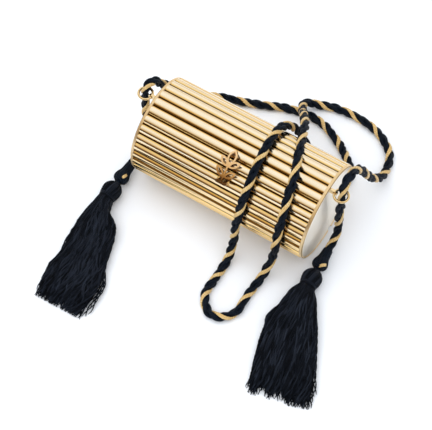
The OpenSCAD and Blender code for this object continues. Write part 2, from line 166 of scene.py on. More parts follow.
def lengths_along(path):
    """The path's length up to each of its points."""
    return np.concatenate([[0], np.cumsum(np.linalg.norm(np.diff(path, axis=0), axis=1))])


def side_directions(path):
    """Two side directions at each point, carried along the path without twisting."""
    tangent = unit(np.gradient(path, axis=0))
    n = np.cross(tangent[0], VERTICAL)
    if np.linalg.norm(n) < UPRIGHT:
        n = np.array((1.0, 0, 0))
    normal = np.empty_like(path)
    for i, t in enumerate(tangent):
        n = n - np.dot(n, t) * t
        n = n / np.linalg.norm(n)
        normal[i] = n
    return normal, np.cross(tangent, normal)


def smooth_route(points, step):
    """A centripetal Catmull-Rom curve through the points, in steps of equal length.

    Also gives the length up to each step and up to each of the points.
    """
    p = np.asarray(points, float)
    p = np.vstack([2 * p[0] - p[1], p, 2 * p[-1] - p[-2]])
    knots = np.concatenate([[0], np.cumsum(np.linalg.norm(np.diff(p, axis=0), axis=1) ** 0.5)])
    fine = []
    marks = []
    for i in range(1, len(p) - 2):
        t0, t1, t2, t3 = knots[i - 1:i + 3]
        marks.append(len(fine) * ROUTE_STEPS)
        t = np.linspace(t1, t2, ROUTE_STEPS, endpoint=False)[:, None]
        a1 = (t1 - t) / (t1 - t0) * p[i - 1] + (t - t0) / (t1 - t0) * p[i]
        a2 = (t2 - t) / (t2 - t1) * p[i] + (t - t1) / (t2 - t1) * p[i + 1]
        a3 = (t3 - t) / (t3 - t2) * p[i + 1] + (t - t2) / (t3 - t2) * p[i + 2]
        b1 = (t2 - t) / (t2 - t0) * a1 + (t - t0) / (t2 - t0) * a2
        b2 = (t3 - t) / (t3 - t1) * a2 + (t - t1) / (t3 - t1) * a3
        fine.append((t2 - t) / (t2 - t1) * b1 + (t - t1) / (t2 - t1) * b2)
    fine = np.vstack(fine + [p[-2:-1]])
    marks.append(len(fine) - 1)
    along = lengths_along(fine)
    count = int(round(along[-1] / step)) + 1
    even = np.linspace(0, along[-1], count)
    curve = np.stack([np.interp(even, along, fine[:, k]) for k in range(3)], axis=1)
    return curve, even, along[marks]


# Materials

def fill_ramp(ramp, stops):
    """Gives a colour ramp its stops, each a place and a colour."""
    while len(ramp.elements) < len(stops):
        ramp.elements.new(0.5)
    for element, (place, color) in zip(ramp.elements, stops):
        element.position = place
        element.color = (*color, 1)


class Shader:
    """A node material with a Principled shader, and short ways to add to it."""

    def __init__(self, name, color, rough, metal=0.0):
        self.material = bpy.data.materials.new(name)
        self.material.use_nodes = True
        self.tree = self.material.node_tree
        self.shader = self.tree.nodes["Principled BSDF"]
        self.set("Base Color", (*color, 1))
        self.set("Roughness", rough)
        self.set("Metallic", metal)

    def set(self, socket, value):
        self.shader.inputs[socket].default_value = value

    def feed(self, socket, out):
        self.link(out, self.shader.inputs[socket])

    def node(self, kind):
        return self.tree.nodes.new("ShaderNode" + kind)

    def link(self, out, into):
        self.tree.links.new(out, into)

    def put(self, value, socket):
        """Sets the socket to a colour or a number, or links another node's output into it."""
        if isinstance(value, tuple):
            socket.default_value = (*value, 1)
        elif isinstance(value, (int, float)):
            socket.default_value = value
        else:
            self.link(value, socket)

    def coords(self, which="Object", scale=(1, 1, 1)):
        place = self.node("TexCoord")
        mapping = self.node("Mapping")
        mapping.inputs["Scale"].default_value = scale
        self.link(place.outputs[which], mapping.inputs["Vector"])
        return mapping.outputs["Vector"]

    def noise(self, vector, scale, detail, rough=0.5):
        made = self.node("TexNoise")
        made.inputs["Scale"].default_value = scale
        made.inputs["Detail"].default_value = detail
        made.inputs["Roughness"].default_value = rough
        self.link(vector, made.inputs["Vector"])
        return made.outputs["Fac"]

    def wave(self, vector, distortion):
        """Slanted bands."""
        made = self.node("TexWave")
        made.bands_direction = "DIAGONAL"
        made.inputs["Scale"].default_value = 1.0
        made.inputs["Distortion"].default_value = distortion
        self.link(vector, made.inputs["Vector"])
        return made.outputs["Fac"]

    def ramp(self, factor, stops):
        made = self.node("ValToRGB")
        fill_ramp(made.color_ramp, stops)
        self.link(factor, made.inputs["Fac"])
        return made.outputs["Color"]

    def range(self, factor, low, high, from_low=0.0, from_high=1.0):
        made = self.node("MapRange")
        made.inputs["From Min"].default_value = from_low
        made.inputs["From Max"].default_value = from_high
        made.inputs["To Min"].default_value = low
        made.inputs["To Max"].default_value = high
        self.link(factor, made.inputs["Value"])
        return made.outputs["Result"]

    def mix(self, factor, a, b):
        made = self.node("Mix")
        made.data_type = "RGBA"
        self.link(factor, made.inputs["Factor"])
        self.put(a, made.inputs[6])
        self.put(b, made.inputs[7])
        return made.outputs[2]

    def math(self, operation, a, b=None):
        made = self.node("Math")
        made.operation = operation
        self.put(a, made.inputs[0])
        if b is not None:
            self.put(b, made.inputs[1])
        return made.outputs[0]

    def bump(self, height, distance, strength):
        made = self.node("Bump")
        made.inputs["Distance"].default_value = distance
        made.inputs["Strength"].default_value = strength
        self.link(height, made.inputs["Height"])
        self.feed("Normal", made.outputs["Normal"])


# Height of the case's axis over the table
AXIS_Z = 39.806 * MM
# Gilding: roughness where it is clean and where it is smeared, as shares of the material's own,
# the smears' share of its colour, and the heights from which and at which its low tone shows: a
# painted shade, darker and deeper gold towards the table
SMEAR_ROUGH = (0.7, 1.7)
SMEAR_TONE = 0.95
PAINTED_SHADE_FROM = 74 * MM
PAINTED_SHADE_AT = 22 * MM


def gilt_material(name, color, rough, tones=(), low=None):
    """Polished gilding with faint smears, and a painted shade: a darker low tone towards the table.

    Each tone has the distances from the case's axis, in millimetres, where it starts and where
    it is full, and its colour. The tones paint shade into the grooves, beside the end discs' rim
    and at the foot of the ornament's strokes, and give the rim its gilt.
    """
    s = Shader(name, color, rough, metal=1.0)
    place = s.coords()
    smear = s.noise(place, scale=55, detail=4, rough=0.55)
    polish = s.noise(s.coords(scale=(0.3, 1, 1)), scale=900, detail=2)
    s.feed("Roughness", s.range(smear, *(rough * share for share in SMEAR_ROUGH)))
    tone = s.ramp(smear, ((0.3, tuple(c * SMEAR_TONE for c in color)), (0.7, color)))
    if tones:
        apart = s.node("SeparateXYZ")
        s.link(place, apart.inputs[0])
        y, z = apart.outputs[1], apart.outputs[2]
        # Painted shade: darker, deeper gold towards the table
        if low:
            tone = s.mix(s.range(z, 0.0, 1.0, PAINTED_SHADE_FROM, PAINTED_SHADE_AT), tone, low)
        height = s.math("SUBTRACT", z, AXIS_Z)
        squares = s.math("ADD", s.math("MULTIPLY", y, y), s.math("MULTIPLY", height, height))
        radius = s.math("SQRT", squares)
        # Painted shade in the grooves and hollows, and the end discs' gilt rim, by the distance
        # from the axis
        for start, end, other in tones:
            tone = s.mix(s.range(radius, 0.0, 1.0, start * MM, end * MM), tone, other)
    s.feed("Base Color", tone)
    s.bump(polish, distance=0.00002, strength=0.3)
    return s.material


# Silk: how much smoother and rougher than its own roughness it is in places
SILK_ROUGH = (0.8, 1.25)


def silk_material(name, color, lit, rough, yarn, twist, gloss, varied=False):
    """Silk with a soft gloss: fine slanted fibres along the UV's length, in millimetres, and a
    painted highlight: the lit colour on the fibres' ridges.

    yarn and twist are the fibres' scales across and along. Varied silk also makes some threads
    lighter than others, towards the lit colour, as painted highlight.
    """
    s = Shader(name, color, rough)
    fibres = s.wave(s.coords("UV", scale=(yarn, twist, 1)), distortion=0.6)
    patch = s.noise(s.coords(), scale=260, detail=3)
    # Painted highlight: the lit colour on the fibres' ridges, which are also the bump's heights
    tone = s.mix(s.math("MULTIPLY", fibres, patch), color, lit)
    # Painted highlight: some threads lighter, towards the lit colour
    if varied:
        slow = s.noise(s.coords("UV", scale=(0.37, 0.01, 1)), scale=3.0, detail=1)
        tone = s.mix(s.range(slow, 0.0, 1.0, from_low=0.4, from_high=0.7), tone, lit)
    s.feed("Base Color", tone)
    s.feed("Roughness", s.range(patch, *(rough * share for share in SILK_ROUGH)))
    s.set("Specular IOR Level", gloss)
    s.bump(fibres, distance=0.0003, strength=0.9)
    return s.material


def steel_material():
    s = Shader("spring_steel", (0.6, 0.6, 0.62), rough=0.28, metal=1.0)
    grain = s.noise(s.coords(scale=(0.05, 1, 1)), scale=1400, detail=2)
    s.feed("Roughness", s.range(grain, 0.2, 0.4))
    s.bump(grain, distance=0.00003, strength=0.3)
    return s.material


def lining_material():
    s = Shader("lining_cloth", (0.012, 0.012, 0.016), rough=0.9)
    weave = s.noise(s.coords(), scale=1500, detail=2)
    s.feed("Base Color", s.ramp(weave, ((0.3, (0.008, 0.008, 0.01)), (0.7, (0.03, 0.03, 0.036)))))
    s.set("Sheen Weight", 0.6)
    s.bump(weave, distance=0.0002, strength=0.5)
    return s.material


def table_material():
    s = Shader("white_table", (0.93, 0.95, 0.99), rough=0.7)
    grain = s.noise(s.coords(), scale=40, detail=2)
    tones = ((0.0, (0.92, 0.945, 0.985)), (1.0, (0.93, 0.955, 0.995)))
    s.feed("Base Color", s.ramp(grain, tones))
    s.set("Specular IOR Level", 0.2)
    return s.material


# Tones by the distance from the case's axis, mostly painted shade: a deeper gold and then near
# black towards the bottom of each groove; the gilt rim of the end discs, with a painted shadow
# line on its shoulder; and painted shade on the sides and foot of the ornament's strokes
PAINTED_GROOVE_SHADE = ((39.6, 38.9, (0.84, 0.57, 0.2)), (38.75, 38.35, (0.02, 0.008, 0.002)))
BEAD_AND_PAINTED_SHADE = (
    (37.7, 38.0, (0.9, 0.72, 0.44)),
    (39.0, 39.15, (0.2, 0.08, 0.02)),
    (39.25, 39.4, (0.86, 0.66, 0.38)),
)
PAINTED_STROKE_SHADE = ((44.3, 43.8, (0.42, 0.2, 0.07)), (43.6, 42.6, (0.1, 0.04, 0.012)))
# The case's gilt: painted shade in its grooves, and a painted shade that darkens it towards the
# table
GILT = gilt_material("gilt", (0.935, 0.815, 0.61), 0.13, PAINTED_GROOVE_SHADE, low=(0.9, 0.6, 0.21))
GILT_PLAIN = gilt_material("gilt_plain", (0.88, 0.68, 0.38), 0.1)
GILT_END = gilt_material("gilt_end", (0.93, 0.88, 0.79), 0.4, BEAD_AND_PAINTED_SHADE)
ORNAMENT = gilt_material("gilt_ornament", (0.88, 0.6, 0.32), 0.16, PAINTED_STROKE_SHADE)
# In each silk the second colour is a painted highlight on the fibres' ridges
BLACK_SILK = silk_material(
    "black_silk", (0.0008, 0.0014, 0.003), (0.015, 0.028, 0.052),
    rough=0.5, yarn=3.77, twist=0.45, gloss=0.1,
)
THREADS = silk_material(
    "tassel_threads", (0.0004, 0.0007, 0.0016), (0.008, 0.011, 0.018),
    rough=0.5, yarn=3.77, twist=0.5, gloss=0.08, varied=True,
)
# A lighter copy of the thread silk: painted highlight for a share of the threads
THREADS_LIT = silk_material(
    "tassel_threads_lit", (0.004, 0.006, 0.011), (0.024, 0.031, 0.047),
    rough=0.42, yarn=3.77, twist=0.5, gloss=0.1, varied=True,
)
GOLD_THREAD = silk_material(
    "gold_thread", (0.62, 0.36, 0.09), (1.0, 0.9, 0.56),
    rough=0.34, yarn=1.26, twist=0.4, gloss=0.5,
)
STEEL = steel_material()
LINING = lining_material()

# The first of these words that is in a node's name gives its finish. The others are plain gilt.
FINISHES = (
    ("shell", GILT), ("end_plate", GILT_END), ("clasp_lever", ORNAMENT), ("spring", STEEL),
    ("lining", LINING), ("strap", BLACK_SILK), ("sleeve", BLACK_SILK), ("tassel", BLACK_SILK),
)
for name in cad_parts:
    finish = next((look for word, look in FINISHES if word in name), GILT_PLAIN)
    for material_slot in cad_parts[name].material_slots:
        material_slot.material = finish


# Strap: the centreline's points are the ones of the model, in millimetres
STRAP_ROUTE = [
    (-85, -28.5, 8), (-85, -24.5, 8), (-85, -19, 8.5), (-84.8, -13.4, 11.5), (-84.2, -10.8, 18),
    (-82.4, -10.2, 32), (-82.4, -7.5, 50), (-84.8, -2.8, 62), (-86.1, -1, 69.5), (-86.1, -1, 77),
    (-85.6, 3, 82), (-84.1, 9.2, 80), (-82.3, 14.6, 72), (-80.6, 24, 57), (-80.2, 36, 38),
    (-77, 50, 16), (-71, 59, 6), (-60, 66.5, 3.6), (-42, 72, 3.6), (-24, 79, 3.6),
    (-8, 85.5, 3.6), (9, 89, 3.6), (25, 87.7, 3.6), (40, 81, 3.6), (54, 72, 3.6),
    (64, 62.5, 3.6), (67, 54, 3.7), (61, 46, 5.2), (48, 44.6, 11.5), (38, 46, 24),
    (29, 46, 40), (24, 43, 54), (20, 37.3, 65.5), (18.5, 26, 77), (19, 10.8, 83.4),
    (20.6, -7, 84.2), (22.2, -23, 78.4), (23.4, -35.6, 67.8), (23.4, -43, 53), (22.6, -46, 37),
    (23, -49, 20), (23.4, -56, 8), (23.8, -67, 3.6), (23.6, -80, 3.6), (24, -91, 3.6),
    (29, -100, 3.6), (37, -104, 3.6), (46, -101, 3.6), (52, -92, 3.6), (52, -78, 3.6),
    (53, -64, 4), (54, -54, 8), (56, -47.5, 20), (57, -46.2, 36), (57, -43, 52.5),
    (55.8, -34.5, 69), (52.6, -20, 80.4), (48.6, -5, 85), (42.4, 11, 84.2), (36, 28, 76),
    (30, 42, 67), (20, 60.5, 48.5), (10, 78, 24), (3.9, 92, 11), (6.5, 97.6, 7.6),
    (14.5, 102.2, 4.5), (28, 107, 3.6), (44, 108, 3.6), (60, 106, 3.6), (74, 100, 3.6),
    (84, 91, 3.6), (89, 78, 4.5), (90, 64, 12), (88, 51, 28), (87, 40, 48),
    (86, 30, 68), (86, 20, 83), (86, 10, 90.4), (86.1, 1.6, 87), (86.1, -1, 77),
    (86.1, -1, 66), (85.4, 1, 46), (85.2, 2.8, 28), (85.2, 2.6, 17.5), (85.4, 0.2, 11.2),
    (85.6, -4, 8.6), (85.8, -8.5, 8), (86, -12.5, 8),
]
# The points where the left stretch ends and the right one starts
LEFT_END = 34
RIGHT_START = 59

# Places along the cord, in millimetres, where the gold strand comes up to the camera, and the turns
# of the twist since the place before
GOLD_UP = (
    (0, 0), (224.1, 10), (247.4, 1), (269, 1), (292.4, 1), (314, 1), (327.5, 1),
    (434.6, 5), (464.3, 1), (488.6, 1), (512.9, 1), (533.6, 1), (560.6, 1), (583.1, 1),
    (603.8, 1), (622.7, 1), (649.7, 1), (675.8, 1), (701, 1), (742.3, 1), (772, 1),
    (800.8, 1), (835, 1), (865.6, 1), (953.8, 4), (980.8, 1), (1004.2, 1), (1027.6, 1),
    (1051, 1), (1075.3, 1), (1106.8, 1), (1143.7, 1), (1169.8, 1),
    (1221, 1), (1245.3, 1), (1270, 1),
)
ROPE_STEP = 0.9 * MM
# Steps on each side of a place over which the twist is evened out
TWIST_EVEN = 8
# Distances from the cord's middle, radii and lengths of one turn of what it is laid from
STRAND_OFFSET = 1.72 * MM
STRAND_PHASE = math.pi / 3
PLY_OFFSET = 0.86 * MM
PLY_R = 1.28 * MM
PLY_LAY = 12 * MM
PLY_SIDES = 10
CORE_OFFSET = 1.25 * MM
CORE_R = 1.3 * MM
GOLD_PHASE = math.pi
GOLD_OFFSET = 2.55 * MM
GOLD_W = 0.98 * MM
GOLD_T = 0.3 * MM
GOLD_R = 0.58 * MM
GOLD_LAY = 9 * MM
GOLD_SIDES = 8
GOLD_STRANDS = 5
# How much thinner the cord is at the middle of a ring, how far that reaches, and over what
# length it fades
SQUEEZE = 0.16
SQUEEZE_REACH = 3 * MM
SQUEEZE_FADE = 4 * MM
TINY = 1e-9

rope_line, rope_along, rope_marks = smooth_route(np.array(STRAP_ROUTE) * MM, ROPE_STEP)
rope_normal, rope_binormal = side_directions(rope_line)


def twist_angles():
    """The twist's angle at each step, with the gold strand up at the places of GOLD_UP."""
    places = []
    angles = []
    eye = np.array(camera.location)
    for place, turns in GOLD_UP:
        i = min(int(round(place * MM / ROPE_STEP)), len(rope_line) - 1)
        view = eye - rope_line[i]
        angle = math.atan2(view @ rope_binormal[i], view @ rope_normal[i])
        if angles:
            angle += math.tau * round((angles[-1] + math.tau * turns - angle) / math.tau)
        places.append(place * MM)
        angles.append(angle)
    turn = np.interp(rope_along, places, angles)
    window = np.hanning(2 * TWIST_EVEN + 1)
    window /= window.sum()
    before = 2 * turn[0] - turn[TWIST_EVEN:0:-1]
    after = 2 * turn[-1] - turn[-2:-2 - TWIST_EVEN:-1]
    return np.convolve(np.concatenate([before, turn, after]), window, "valid") - math.pi


def ring_squeeze():
    """The cord's thickness as a share of its full one: the rings pinch it a little."""
    share = np.ones(len(rope_line))
    for node in ("ring_left", "ring_right"):
        low, high = (np.array(corner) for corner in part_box(node))
        away = np.linalg.norm(rope_line - (low + high) / 2, axis=1)
        share -= SQUEEZE * np.exp(-(np.maximum(away - SQUEEZE_REACH, 0) / SQUEEZE_FADE) ** 2)
    return share


rope_turn = twist_angles()
rope_size = ring_squeeze()


def rope_side(phase):
    """The direction from the cord's middle to a strand at the given phase of the twist."""
    angle = (rope_turn + phase)[:, None]
    return np.cos(angle) * rope_normal + np.sin(angle) * rope_binormal


def rope(name, node, first_mark, last_mark):
    """One stretch of the cord: two black strands of two plies, and a flat gold one on a core."""
    lo = int(np.searchsorted(rope_along, rope_marks[first_mark] - TINY))
    hi = int(np.searchsorted(rope_along, rope_marks[last_mark] + TINY))
    hi = min(hi + 1, len(rope_line))
    size = rope_size[:, None]
    build = Builder(name)
    for phase in (-STRAND_PHASE, STRAND_PHASE):
        out = rope_side(phase)
        centre = rope_line + STRAND_OFFSET * size * out
        side = np.cross(unit(np.gradient(centre, axis=0)), out)
        twist = -math.tau * rope_along / PLY_LAY + phase
        for ply in (0, math.pi):
            angle = (twist + ply)[:, None]
            path = centre + PLY_OFFSET * size * (np.cos(angle) * out + np.sin(angle) * side)
            build.tube(path[lo:hi], (PLY_R * rope_size)[lo:hi], PLY_SIDES)
    out = rope_side(GOLD_PHASE)
    core = rope_line + CORE_OFFSET * size * out
    build.tube(core[lo:hi], (CORE_R * rope_size)[lo:hi], PLY_SIDES)
    path = rope_line + GOLD_OFFSET * size * out
    side = np.cross(unit(np.gradient(path, axis=0)), out)
    lay = math.tau * rope_along / GOLD_LAY
    for k in range(GOLD_STRANDS):
        angle = (lay + math.tau * k / GOLD_STRANDS)[:, None]
        strand = path + size * (GOLD_W * np.cos(angle) * side + GOLD_T * np.sin(angle) * out)
        build.tube(strand[lo:hi], (GOLD_R * rope_size)[lo:hi], GOLD_SIDES, slot=1)
    piece = build.make([BLACK_SILK, GOLD_THREAD])
    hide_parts(node)
    return piece


cord_left = rope("cord_left", "strap_left", 0, LEFT_END)
cord_front = rope("cord_front", "strap_front", LEFT_END, RIGHT_START)
cord_right = rope("cord_right", "strap_right", RIGHT_START, len(STRAP_ROUTE) - 1)


# Tassels, in millimetres. Steps are places along a piece and shares are its sizes there, both as
# shares of its full ones. Pairs of numbers for random draws are the two ends of their range.

SLEEVE_R = 6.0
SLEEVE_LEN = 18.0
SLEEVE_STEPS = (0, 0.2, 0.4, 0.5, 0.6, 0.72, 0.86, 0.95, 1)
SLEEVE_SHARES = (0.62, 0.65, 0.7, 0.78, 0.92, 1, 0.98, 0.78, 0.48)
SLEEVE_ROWS = 89
# Rows on each side of a row over which the sleeve's outline is rounded
SLEEVE_EVEN = 4
NECK_LEN = 2.0
NECK_R = 2.2
NECK_LAP = 0.4
NECK_ROWS = 16
HEAD_R = 7.8
HEAD_LEN = 16.0
HEAD_STEPS = (0, 0.05, 0.14, 0.26, 0.4, 0.54, 0.68, 0.8, 0.86, 0.93, 1)
HEAD_SHARES = (0.3, 0.52, 0.74, 0.91, 1, 0.99, 0.94, 0.86, 0.81, 0.79, 0.79)
HEAD_ROWS = 40
# What is under the threads of the neck and the head, as a share of their radius
UNDER_THREADS = 0.95
TURNED_FLOOR = 0.05

# Gold patch on a sleeve: three threads side by side. Place along the sleeve, angle from the top
# of the sleeve, lean and length of the patch
BAND_PLACE = {LEFT: 13.3, RIGHT: 15.4}
BAND_TURN = {LEFT: math.radians(34), RIGHT: math.radians(36)}
BAND_LEAN = {LEFT: math.radians(70), RIGHT: math.radians(41)}
BAND_LEN = {LEFT: 5.2, RIGHT: 6.4}
BAND_PITCH = 0.713
BAND_SHORTER = 0.12
BAND_STEPS = 25
# Depth of the threads' ends in the sleeve and their rise towards the middle, and the same for
# their radius
BAND_SUNK = 0.25
BAND_RISE = 0.45
BAND_END_R = 0.15
BAND_MORE_R = 0.36

# Threads and binding of a head
HEAD_SEED = 41
HEAD_THREADS = 46
HEAD_THREAD_ENDS = (0.02, 0.82)
HEAD_THREAD_STEPS = 24
HEAD_THREAD_R = (0.42, 0.56)
HEAD_THREAD_LIFT = (-0.35, -0.05)
HEAD_UNEVEN = (-0.25, 0.25)
HEAD_LEAN = 0.5
HEAD_LEAN_VARIES = (-0.1, 0.1)
# Share of head threads in the lighter silk, a painted highlight
HEAD_LIT = 0.35
HEAD_WRAPS = 5
WRAP_START = 0.8
WRAP_PITCH = 0.036
WRAP_WOBBLE = 0.008
WRAP_LIFT = 0.05
WRAP_BULGE = 0.12
WRAP_R = 0.46
WRAP_STEPS = 49

# Every thread has six sides. Its tone comes from its place across the UV, within this width, and
# it takes up this much of it.
THREAD_SIDES = 6
TONES = 40
THREAD_U = 0.6

# Skirts: the middle line's steps and its distances from the straight line, the half width and the
# half thickness
SKIRT_LEN = 95.0
SKIRT_W = 48.0
SKIRT_LINES = {
    LEFT: (
        (0, 0.047, 0.121, 0.241, 0.38, 0.535, 0.68, 0.835, 0.99),
        (0.002, 0.004, 0.034, 0.068, 0.112, 0.147, 0.175, 0.192, 0.198),
    ),
    RIGHT: (
        (0, 0.065, 0.175, 0.34, 0.52, 0.7, 0.84, 0.905),
        (0, 0, 0.024, 0.05, 0.099, 0.162, 0.207, 0.232),
    ),
}
SKIRT_SHARES = {
    LEFT: (0.255, 0.28, 0.45, 0.638, 0.681, 0.74, 0.844, 0.82, 0.717),
    RIGHT: (0.26, 0.43, 0.58, 0.79, 0.91, 0.95, 0.98, 0.98),
}
SKIRT_THICK = {
    LEFT: (0.94, 0.94, 0.93, 0.87, 0.78, 0.68, 0.58, 0.47, 0.32),
    RIGHT: (0.94, 0.94, 0.9, 0.78, 0.66, 0.54, 0.42, 0.3),
}
# The middle line leaves the head straight over this share of the length
LINE_FADE = 0.1
# How much longer the yarns are right of the middle than at the sides, as a share of the skirt,
# and the middle and the width of that bulge
SKIRT_BULGE = {LEFT: 0.0, RIGHT: 0.055}
BULGE_PLACE = 0.4
BULGE_WIDTH = 0.45
# Dark core under the threads: its length, height, width and thickness as shares of the skirt's
CORE_LEN = 0.9
CORE_HEIGHT = 0.9
CORE_WIDTH = 0.9
CORE_THICK = 0.78
CORE_FLOOR = 0.3
CORE_ROWS = 30
CORE_COLS = 40
CORE_U = 0.4

# The opening front half reaches this far out and this far forward. Threads keep this much room
# beside it and up to this much more, and beyond it they come back in at this slope.
CASE_HALF = 76.4
LID_REACH = 73.5
LID_ROOM = 0.8
LID_MORE_ROOM = (0.0, 0.8)
LID_SLOPE = 2.0

# Yarns and strays of a skirt: seed of the random draws, number of strays, and how wild both are
SEED = {LEFT: 11, RIGHT: 29}
STRAYS = {LEFT: 44, RIGHT: 14}
WILD = {LEFT: 1.6, RIGHT: 0.7}
YARNS = 96
# Yarns lie closer towards the sides by this power, and this share of them is on the underside
YARN_SPACING = 0.92
YARN_UNDER = 0.3
YARN_STEPS = 34
YARN_FLOOR = 0.45
YARN_THREADS = (3, 5)
THREAD_R = (0.4, 0.56)
THREAD_SHADE = (-0.3, 0.3)
# Lengths of the yarns and their spread, and more spread the wilder they are. A share of them is
# shorter.
YARN_LEN = 0.968
YARN_LEN_SPREAD = 0.02
YARN_LEN_WILD = 0.012
SHORT_YARNS = 0.1
SHORTER_BY = (0.04, 0.16)
LONGEST = 1.01
THREAD_LEN_SPREAD = 0.022
# Sway across the skirt: its size, the share of yarns that sway more and how many times more, and
# the two waves' heights and numbers
SWAY = (0.4, 1.2)
FREE_YARNS = 0.16
FREE_SWAY = 2.4
SWAY_WAVES = ((1.0, 8), (0.55, 19))
# Yarns drift sideways from this share of the length on
DRIFT = 0.06
DRIFT_FROM = 0.3
DRIFT_GAIN = 2
LIFT = (-0.5, 0.9)
# The share of the length over which the sway and the lift grow
GROW = 0.35
# Turns of a yarn's threads round each other, their distance from its middle at the head and its
# growth, and how the threads part at the end
YARN_TURNS = (2.2, 4.2)
COIL = 0.5
COIL_GROWTH = 0.6
COIL_HEIGHT = 0.75
FRAY = 1.4
FRAY_FROM = 0.8
FRAY_OVER = 0.2
YARN_WIDTH = 0.96
YARN_WIDTH_GROWTH = 0.02
# Heights of the yarns over the table at the sides, as a share of the half thickness, and what the
# upper and the lower ones have more and less in the middle
YARN_HEIGHT = 0.92
DOME_UPPER = 0.9
DOME_UNDER = 0.7
RIPPLE = 0.5
RIPPLE_WAVES = 26
DROOP = 0.6
DROOP_FROM = 0.86
DROOP_OVER = 0.16
TIP = 0.4
# Share of threads in the lighter silk, a painted highlight
LIT_THREADS = 0.3

# Strays: single threads over the skirt, from one place across it to another. The place where one
# ends along it is a middle value and its spread, and a sway is a size and a number of waves.
STRAY_STEPS = 40
STRAY_R = (0.42, 0.55)
STRAY_FLOOR = 0.6
STRAY_PLACE = (-0.8, 0.8)
STRAY_START = (0.05, 0.4)
STRAY_END = (0.95, 0.05)
STRAY_SHIFT = 0.42
STRAY_CURVE = 1.5
STRAY_SWAY = ((0.04, 21), (0.7, 13))
STRAY_WIDTH = 0.98
STRAY_HEIGHT = 0.95
STRAY_DOME = 0.93
STRAY_LIFT = 0.9
STRAY_RIPPLE = 0.5
STRAY_RIPPLE_WAVES = 31
STRAY_DROOP = 0.5
STRAY_DROOP_FROM = 0.8
STRAY_DROOP_OVER = 0.2
STRAY_ROOM = 0.5


def foot_frame(side):
    """Start, heading and side direction of a tassel, at the end of the strap."""
    end, before = STRAP_ROUTE[:2] if side == LEFT else STRAP_ROUTE[:-3:-1]
    start = np.array(end, float)
    heading = start - np.array(before, float)
    heading[2] = 0
    heading /= np.linalg.norm(heading)
    across = np.array((-heading[1], heading[0], 0.0))
    return start, heading, across


def thread_u(shade):
    """The part of the UV's width that one thread has, for its tone."""
    return shade, shade + THREAD_U


def rise(t, start, over):
    """0 up to the start and 1 from a stretch further on, with a straight line between."""
    return np.clip((t - start) / over, 0, 1)


def dome(u):
    """The height of a half circle over each place across it, from -1 to 1."""
    return np.sqrt(np.maximum(1 - np.minimum(np.abs(u), 1) ** 2, 0))


def revolve(build, foot, places, radii, sides, ridges=0, depth=0.0, helix=0.0):
    """A turned form round the tassel's axis, with optional fine ridges."""
    start, heading, across = foot
    angle = np.linspace(0, math.tau, sides, endpoint=False)
    rows = []
    for place, radius in zip(places, radii):
        ridge = 1 + depth * np.cos(ridges * angle + helix * place)
        r = (radius * ridge)[:, None]
        rows.append(
            start + heading * place
            + r * np.cos(angle)[:, None] * across
            + r * np.sin(angle)[:, None] * VERTICAL
        )
    grid = np.stack(rows)
    grid[:, :, 2] = np.maximum(grid[:, :, 2], TURNED_FLOOR)
    build.skin(grid * MM, places)


def sleeve_radius(place):
    return np.interp(place / SLEEVE_LEN, SLEEVE_STEPS, SLEEVE_SHARES) * SLEEVE_R


def sleeve(side, label):
    """Close-wound silk over the cord's end, with a short slanted patch of gold thread on it."""
    foot = foot_frame(side)
    start, heading, across = foot
    places = np.linspace(0, SLEEVE_LEN, SLEEVE_ROWS)
    window = np.ones(2 * SLEEVE_EVEN + 1) / (2 * SLEEVE_EVEN + 1)
    radii = np.convolve(np.pad(sleeve_radius(places), SLEEVE_EVEN, "edge"), window, "valid")
    build = Builder("bound_sleeve_" + label)
    revolve(build, foot, places, radii, sides=144, ridges=16, depth=0.055, helix=0.3)
    wound = build.make([BLACK_SILK])
    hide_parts("sleeve_" + label)
    band = Builder("wound_band_" + label)
    lean = BAND_LEAN[side]
    for k in (-1, 0, 1):
        run = np.linspace(-0.5, 0.5, BAND_STEPS) * BAND_LEN[side] * (1 - BAND_SHORTER * abs(k))
        off = k * BAND_PITCH
        place = BAND_PLACE[side] - run * math.sin(lean) + off * math.cos(lean)
        angle = BAND_TURN[side] + (run * math.cos(lean) + off * math.sin(lean)) / SLEEVE_R
        out = np.cos(angle)[:, None] * VERTICAL + np.sin(angle)[:, None] * across
        bulge = np.sqrt(np.clip(1 - (2 * run / BAND_LEN[side]) ** 2, 0, 1))
        reach = sleeve_radius(place) - BAND_SUNK + BAND_RISE * bulge
        path = start + heading * place[:, None] + out * reach[:, None]
        band.tube(path * MM, (BAND_END_R + BAND_MORE_R * bulge) * MM, sides=10)
    gold = band.make([GOLD_THREAD])
    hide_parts("sleeve_band_" + label)
    return [wound, gold]


def head_radius(share):
    return np.interp(share, HEAD_STEPS, HEAD_SHARES) * HEAD_R


